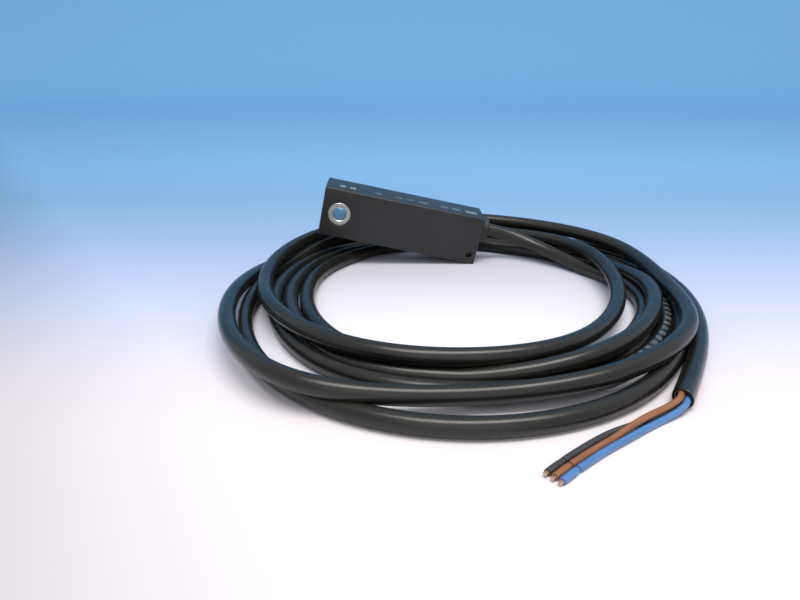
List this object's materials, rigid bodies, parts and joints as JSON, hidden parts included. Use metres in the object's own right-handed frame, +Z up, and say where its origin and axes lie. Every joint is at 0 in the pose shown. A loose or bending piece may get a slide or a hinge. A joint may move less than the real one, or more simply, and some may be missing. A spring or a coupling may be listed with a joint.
{
  "type": "proximity_sensor_block",
  "caption": "Block-shaped inductive proximity sensor in black plastic with a metal mounting sleeve, on a loosely coiled black cable whose brown, black and blue cores are bare at the end.",
  "frame": {"origin": "under the middle of the housing, on the table that the housing's lowest corner and the coiled cable rest on", "axes": "+X along the housing's length towards its cable end, +Y from the housing's front face to its back, +Z up. The housing lies tilted by about 12 degrees, propped up by the coil."},
  "size_m": [0.1279, 0.1498, 0.0272],
  "materials": {
    "housing": "satin",
    "sleeve": "nickel plated, satin",
    "window": "gloss",
    "led": "gloss",
    "ferrite": "matte",
    "nylon": "matte",
    "copper": "gloss",
    "board": "satin",
    "chip": "satin",
    "capacitor": "satin",
    "resistor": "gloss",
    "potting": "gloss",
    "solder": "satin",
    "cable": "satin",
    "bushing": "matte",
    "core_brown": "satin",
    "core_black": "satin",
    "core_blue": "satin",
    "conductor": "tinned, gloss"
  },
  "bodies": {
    "root": {"housing_shell": "housing", "rear_cover": "housing", "mounting_sleeve": "sleeve", "led_light_guide": "window", "status_led": "led", "ferrite_core": "ferrite", "coil_bobbin": "nylon", "coil_winding": "copper", "coil_lead_1": "copper", "coil_lead_2": "copper", "circuit_board": "board", "oscillator_chip": "chip", "output_transistor": "chip", "voltage_regulator": "chip", "protection_diode_1": "chip", "protection_diode_2": "chip", "capacitor_1": "capacitor", "capacitor_2": "capacitor", "capacitor_3": "capacitor", "resistor_1": "resistor", "resistor_2": "resistor", "resistor_3": "resistor", "resistor_4": "resistor", "resistor_5": "resistor", "potting_compound": "potting", "inner_lead_brown": "core_brown", "inner_lead_black": "core_black", "inner_lead_blue": "core_blue", "solder_joint_brown": "solder", "solder_joint_black": "solder", "solder_joint_blue": "solder", "inner_cable_stub": "cable", "cable_clamp": "nylon", "cable_bushing": "bushing", "cable_jacket": "cable", "core_brown": "core_brown", "core_black": "core_black", "core_blue": "core_blue", "insulation_slug_brown": "core_brown", "insulation_slug_black": "core_black", "insulation_slug_blue": "core_blue", "conductor_tip_brown": "conductor", "conductor_tip_black": "conductor", "conductor_tip_blue": "conductor"}
  },
  "joints": []
}
